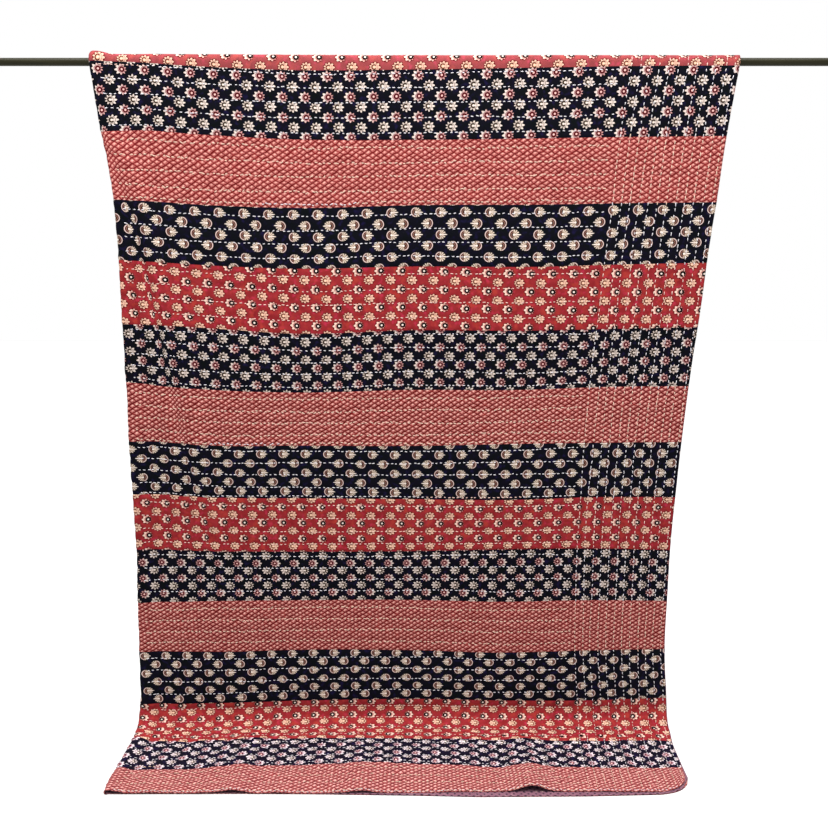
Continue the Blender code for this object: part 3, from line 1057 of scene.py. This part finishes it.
def on_mesh(side, u, s):
    """Points of the printed face as it is meshed, at u across a half and path length s."""
    u, s = np.broadcast_arrays(np.asarray(u, float), np.asarray(s, float))
    left, right, short = edges(s)
    edge = right - short if side == 0 else right
    x = left + FOLD_NOSE + (edge - left - FOLD_NOSE) * u
    if side == 0:
        col = np.interp(u, FRONT[::-1], FRONT_PLACE)
    else:
        col = len(FRONT) + len(NOSE) + np.interp(u, BACK, np.arange(len(BACK)))
    out = np.zeros(u.shape + (3,))
    for k in range(len(STRIPS)):
        top = seam_at(k, u)
        low = hem_at(x, edge, side == 2) if k == len(STRIPS) - 1 else seam_at(k + 1, u)
        last = k == len(STRIPS) - 1
        pick = (s >= (top if k else top - 1)) & (s < (low + 1 if last else low))
        if not pick.any():
            continue
        row = np.clip((s - top) / (low - top), 0, 1)[pick] * ROWS
        i = np.minimum(row.astype(int), ROWS - 1)
        c = col[pick]
        j = np.minimum(c.astype(int), len(SIDE) - 2)
        fi, fj = (row - i)[:, None], (c - j)[:, None]
        g = GRIDS[k]
        out[pick] = (g[i, j] * (1 - fi) + g[i + 1, j] * fi) * (1 - fj) + (g[i, j + 1] * (1 - fi) + g[i + 1, j + 1] * fi) * fj
    return out


def stitch_ends(side, u_of, s_of, steps):
    """Ends and normals of stitches along a curve given at the parameters steps (start, end) pairs."""
    a = on_mesh(side, u_of(steps[:, 0]), s_of(steps[:, 0]))
    b = on_mesh(side, u_of(steps[:, 1]), s_of(steps[:, 1]))
    mid = steps.mean(axis=1)
    um, sm = u_of(mid), s_of(mid)
    du, ds = 0.004 / fold_width, 0.003
    pu = on_mesh(side, um + du, sm) - on_mesh(side, um - du, sm)
    ps = on_mesh(side, um, sm + ds) - on_mesh(side, um, sm - ds)
    n = np.cross(ps, pu)
    if side == 2:
        n = -n
    n /= np.maximum(np.linalg.norm(n, axis=1, keepdims=True), 1e-9)
    return a, b, n


def beats(start, end, period, fill, generator, stray=0.07):
    """Running stitches between two places: start and end of each, as uneven as a hand's."""
    count = int((end - start) / period)
    at = start + period * (np.arange(count) + 0.3) + generator.normal(0, period * stray, count)
    long = period * fill * (1 + generator.normal(0, 0.14, count))
    return np.stack([at, at + np.clip(long, period * 0.3, period * 0.8)], axis=1)


def strip_of(s):
    """Which strip a path length falls in, near enough for the colour of a thread."""
    return np.clip(np.searchsorted([row[0] for row in SEAMS], s) - 1, 0, len(STRIPS) - 1)


THREAD_OF = np.array([{"red": 1, "grain": 2}.get(name, 0) for name, *rest in STRIPS])
stitches = {(side, kind): [] for side in (0, 2) for kind in (0, 1, 2)}


def keep_stitches(side, steps, u_of, s_of, generator, loose=1.0):
    a, b, n = stitch_ends(side, u_of, s_of, steps)
    # a hand never sews quite straight
    a[:, 2] += generator.normal(0, 0.0006, len(a)) * loose
    b[:, 2] += generator.normal(0, 0.0006, len(b)) * loose
    a[:, 0] += generator.normal(0, 0.0004, len(a))
    b[:, 0] += generator.normal(0, 0.0004, len(b))
    at = s_of(steps.mean(axis=1))
    if side == 2:
        # on the rod the back half's stitches are pressed flat into the cloth
        clear = np.abs(at) > 0.034
        a, b, n, at = a[clear], b[clear], n[clear], at[clear]
    kinds = THREAD_OF[strip_of(at)]
    for kind in (0, 1, 2):
        stitches[side, kind].append((a[kinds == kind], b[kinds == kind], n[kinds == kind]))


for side in (0, 2):
    for k in range(len(STRIPS)):
        for j in range(len(STRIPS[k][6])):
            generator = np.random.default_rng(1000 * side + 40 * k + j)
            start_u = 0.006
            end_u = 1 - (BORDER_END + 0.002 + generator.uniform(-0.004, 0.006)) / fold_width
            close = STRIPS[k][0] == "grain"
            period, fill, stray = (0.0106, 0.64, 0.15) if close else (0.0114, 0.56, 0.08)
            steps = beats(start_u * fold_width, end_u * fold_width, period, fill, generator, stray)

            def u_of(d):
                return d / fold_width

            def s_of(d, k=k, j=j, side=side):
                u = d / fold_width
                tau = d if side == 0 else -d
                return quilting_rows(k, u, tau)[j]

            keep_stitches(side, steps, u_of, s_of, generator, 2.6 if close else 1.0)
    for j in range(BORDER_LINES):
        generator = np.random.default_rng(77000 + 100 * side + j)
        first = -TAIL_LENGTH + 0.006
        last = HEM_PATH - 0.012 - (0.034, 0.010)[j] if j < 2 else HEM_PATH - 0.012
        steps = beats(first, last, 0.0128, 0.56, generator)

        def s_of(d):
            return d

        def u_of(d, j=j, side=side):
            left, right, short = edges(d)
            edge = right - short if side == 0 else right
            gap = border_line(j, d, side == 2)
            return 1 - gap / (edge - left - FOLD_NOSE)

        keep_stitches(side, steps, u_of, s_of, generator)

WHITE_THREAD = thread_material("white_thread", dyed(246, 242, 246), dyed(216, 210, 218))
TINTED_THREAD = thread_material("tinted_thread", dyed(252, 220, 206), dyed(234, 180, 166))
CREAM_THREAD = thread_material("cream_thread", dyed(248, 222, 196), dyed(226, 184, 160))
THREADS = (("navy", WHITE_THREAD, 0.0020), ("red", TINTED_THREAD, 0.0020), ("grain", CREAM_THREAD, 0.0020))
for side, label in ((0, "front"), (2, "back")):
    for kind, (name, mat, width) in enumerate(THREADS):
        a, b, n = (np.concatenate([row[i] for row in stitches[side, kind]]) for i in range(3))
        thread_mesh(f"quilting_{label}_on_{name}", a, b, n, width, 0.0014, mat)

# the hem's own row of short stitches, along the hem of the front and the back half
hem_rows = []
for side in (0, 2):
    generator = np.random.default_rng(9100 + side)
    steps = beats(0.010, fold_width * 0.985, 0.0086, 0.55, generator)

    def u_of(d):
        return d / fold_width

    def s_of(d, side=side):
        u = d / fold_width
        left, right, short = edges(np.full_like(u, HEM_PATH))
        edge = right - short if side == 0 else right
        x = left + FOLD_NOSE + (edge - left - FOLD_NOSE) * u
        return hem_at(x, edge, side == 2) - 0.0035

    hem_rows.append(stitch_ends(side, u_of, s_of, steps))
a, b, n = (np.concatenate([row[i] for row in hem_rows]) for i in range(3))
thread_mesh("hem_stitches", a, b, n, 0.0017, 0.0011, WHITE_THREAD)


# ------------------------------------------------------------------ the rod
def rod_piece():
    sides, rings = 72, []
    profile = (
        (-ROD_LENGTH / 2 + 0.0000, 0.0),
        (-ROD_LENGTH / 2 + 0.0000, 0.0052),
        (-ROD_LENGTH / 2 + 0.0002, 0.0066),
        (-ROD_LENGTH / 2 + 0.0009, 0.0076),
        (-ROD_LENGTH / 2 + 0.0022, 0.0080),
        (-ROD_LENGTH / 2 + 0.0120, 0.0080),
        (-ROD_LENGTH / 2 + 0.0122, 0.0078),
        (-ROD_LENGTH / 2 + 0.0128, 0.0078),
        (-ROD_LENGTH / 2 + 0.0130, 0.0080),
    )
    profile = list(profile) + [(-x, r) for x, r in reversed(profile)]
    angle = np.arange(sides) * 2 * math.pi / sides
    pts = []
    for x, r in profile:
        r = max(r, 1e-5)
        pts.append(np.stack([np.full(sides, x), -r * np.sin(angle), r * np.cos(angle)], axis=1))
    pts = np.concatenate(pts)
    faces = []
    for i in range(len(profile) - 1):
        for j in range(sides):
            k = (j + 1) % sides
            faces.append((i * sides + j, (i + 1) * sides + j, (i + 1) * sides + k, i * sides + k))
    obj = mesh_object("rod_tube", pts, np.array(faces))
    obj.data.set_sharp_from_angle(angle=math.radians(35))
    obj.data.materials.append(rod_material())
    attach(obj, "root")
    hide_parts("rod")
    return obj


rod_piece()

# ------------------------------------------------------------------ stage, light, camera
floor_mesh = bpy.data.meshes.new("floor")
size = 14.0
floor_mesh.from_pydata(
    [(-size, -size, GROUND), (size, -size, GROUND), (size, size, GROUND), (-size, size, GROUND)], [], [(0, 1, 2, 3)]
)
floor = bpy.data.objects.new("floor", floor_mesh)
bpy.context.scene.collection.objects.link(floor)
mat, tree, shader = new_material("pale_floor")
shader.inputs["Base Color"].default_value = (0.53, 0.53, 0.53, 1)
shader.inputs["Roughness"].default_value = 0.9
shader.inputs["Specular IOR Level"].default_value = 0.1
floor_mesh.materials.append(mat)

world = bpy.data.worlds.new("studio")
world.use_nodes = True
world.node_tree.nodes["Background"].inputs["Color"].default_value = (1, 1, 1, 1)
world.node_tree.nodes["Background"].inputs["Strength"].default_value = 1.0
bpy.context.scene.world = world


def area_light(name, location, target, width, height, power):
    data = bpy.data.lights.new(name, "AREA")
    data.shape = "RECTANGLE"
    data.size, data.size_y = width, height
    data.energy = power
    obj = bpy.data.objects.new(name, data)
    obj.location = location
    from mathutils import Vector

    aim = Vector(target) - Vector(location)
    obj.rotation_euler = aim.to_track_quat("-Z", "Y").to_euler()
    obj.visible_camera = False
    bpy.context.scene.collection.objects.link(obj)
    return obj


area_light("over_front_soft", (-0.15, -1.2, 1.4), (0, -0.3, -0.8), 2.4, 1.2, 62)
area_light("over_rod_soft", (0, -0.22, 0.75), (0, -0.01, 0), 2.3, 0.35, 12)
area_light("over_back_soft", (0.15, 1.5, 1.6), (0, 0.1, -0.8), 2.0, 1.2, 22)
sky = bpy.data.lights.new("high_soft", "SUN")
sky.energy = 3.4
sky.angle = math.radians(50)
sky_object = bpy.data.objects.new("high_soft", sky)
sky_object.rotation_euler = (math.radians(11), 0, 0)
bpy.context.scene.collection.objects.link(sky_object)

camera_data = bpy.data.cameras.new("camera")
camera_data.sensor_width = 36.0
camera_data.lens = 900.0 / 828.0 * 36.0
camera_data.shift_y = (552.0 - 414.0) / 828.0
camera_data.clip_start, camera_data.clip_end = 0.05, 100
camera = bpy.data.objects.new("camera", camera_data)
camera.location = (0.0, -2.1812, -0.4401)
camera.rotation_euler = (math.radians(90 - 17.16), 0, 0)
bpy.context.scene.collection.objects.link(camera)
bpy.context.scene.camera = camera
bpy.context.scene.view_settings.view_transform = "Standard"
